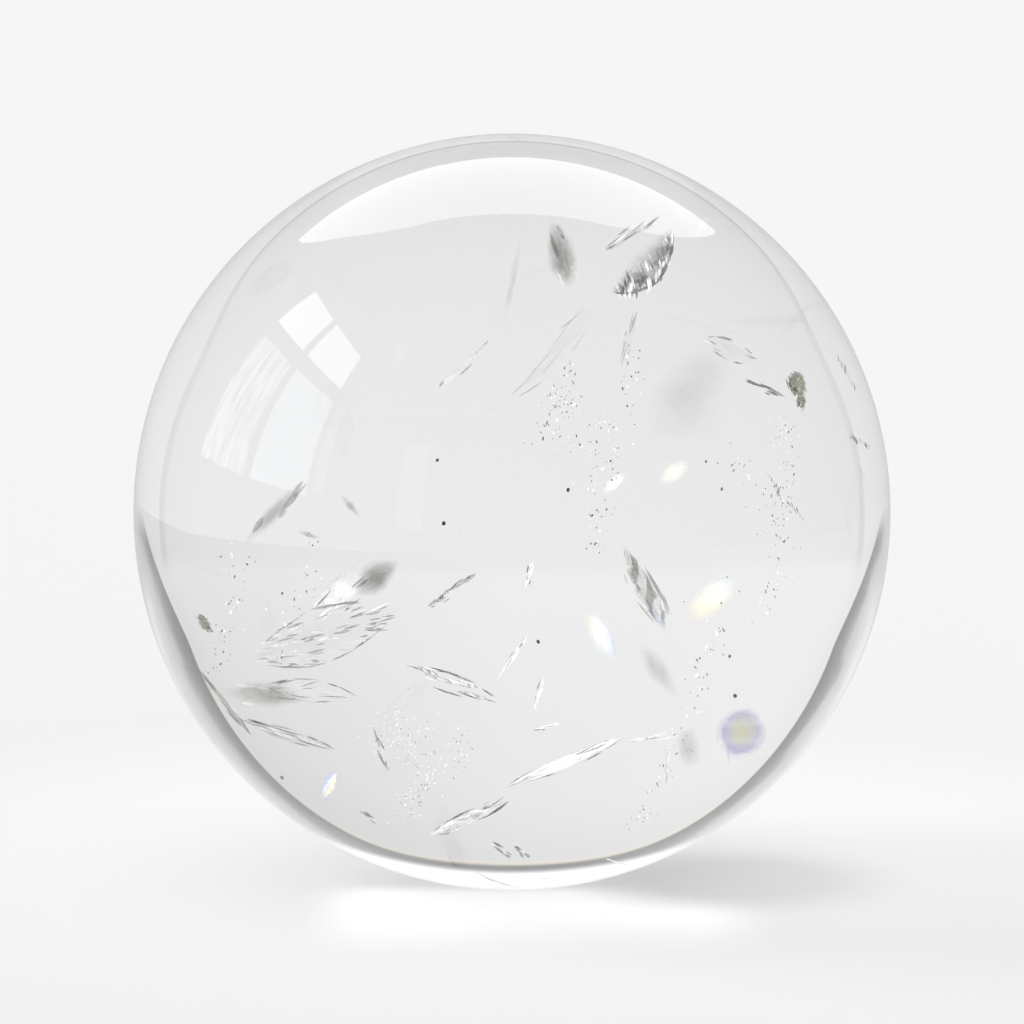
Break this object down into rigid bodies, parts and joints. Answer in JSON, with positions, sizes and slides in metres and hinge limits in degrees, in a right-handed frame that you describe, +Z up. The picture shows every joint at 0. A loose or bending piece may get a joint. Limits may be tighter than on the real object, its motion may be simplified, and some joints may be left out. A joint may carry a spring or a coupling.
{
  "type": "polished clear quartz sphere",
  "caption": "Polished ball of clear quartz with feathers, healed veils and mineral specks inside, resting on a small ground flat.",
  "frame": {"origin": "centre of the small ground flat that the sphere rests on", "axes": "+Z up through the sphere's centre; -Y towards the viewer; +X to the viewer's right"},
  "size_m": [0.06, 0.06, 0.0597],
  "materials": {
    "quartz": "mirror-polished, water-clear, slightly cool; a few hairline polishing marks",
    "fracture_film": "gas-filled film with a silvery mirror gloss, hackled and rippled",
    "iris_film": "very thin gas film that shows rainbow interference colours",
    "fluid_droplets": "tiny glossy bubbles of trapped fluid and gas",
    "chlorite": "dark green, waxy mineral flake",
    "iron_ore": "near-black, sub-metallic mineral grain"
  },
  "bodies": {
    "root": {"quartz_body": "quartz", "crown_feather": "fracture_film", "crown_shelf": "fracture_film", "crown_splinter": "fracture_film", "crown_wisp": "fracture_film", "crown_ray": "fracture_film", "north_wisp": "fracture_film", "upper_sliver": "fracture_film", "east_feather": "fracture_film", "east_dart": "fracture_film", "east_lashes": "fracture_film", "ghost_veil": "fracture_film", "ghost_band": "fracture_film", "midday_flash": "fracture_film", "noon_flash": "fracture_film", "west_veil": "fracture_film", "west_chips": "fracture_film", "west_lens": "fracture_film", "west_flash": "fracture_film", "west_smoke": "fracture_film", "fan_upper": "fracture_film", "fan_middle": "fracture_film", "fan_lower": "fracture_film", "west_rim": "fracture_film", "centre_dart": "fracture_film", "centre_feather": "fracture_film", "centre_slivers": "fracture_film", "prism_leaf": "fracture_film", "prism_flash": "iris_film", "prism_tail": "fracture_film", "sun_flash": "iris_film", "rainbow_disc": "iris_film", "rainbow_wing": "fracture_film", "rainbow_chip": "iris_film", "long_blade": "fracture_film", "long_tail": "fracture_film", "short_blade": "fracture_film", "base_darts": "fracture_film", "south_dart": "fracture_film", "plumb_sliver": "fracture_film", "sole_slivers": "fracture_film", "crown_droplets": "fluid_droplets", "axis_droplets": "fluid_droplets", "east_droplets": "fluid_droplets", "west_droplets": "fluid_droplets", "plumb_droplets": "fluid_droplets", "snow_cloud": "fluid_droplets", "green_flakes": "chlorite", "dark_grains": "iron_ore"}
  },
  "joints": []
}
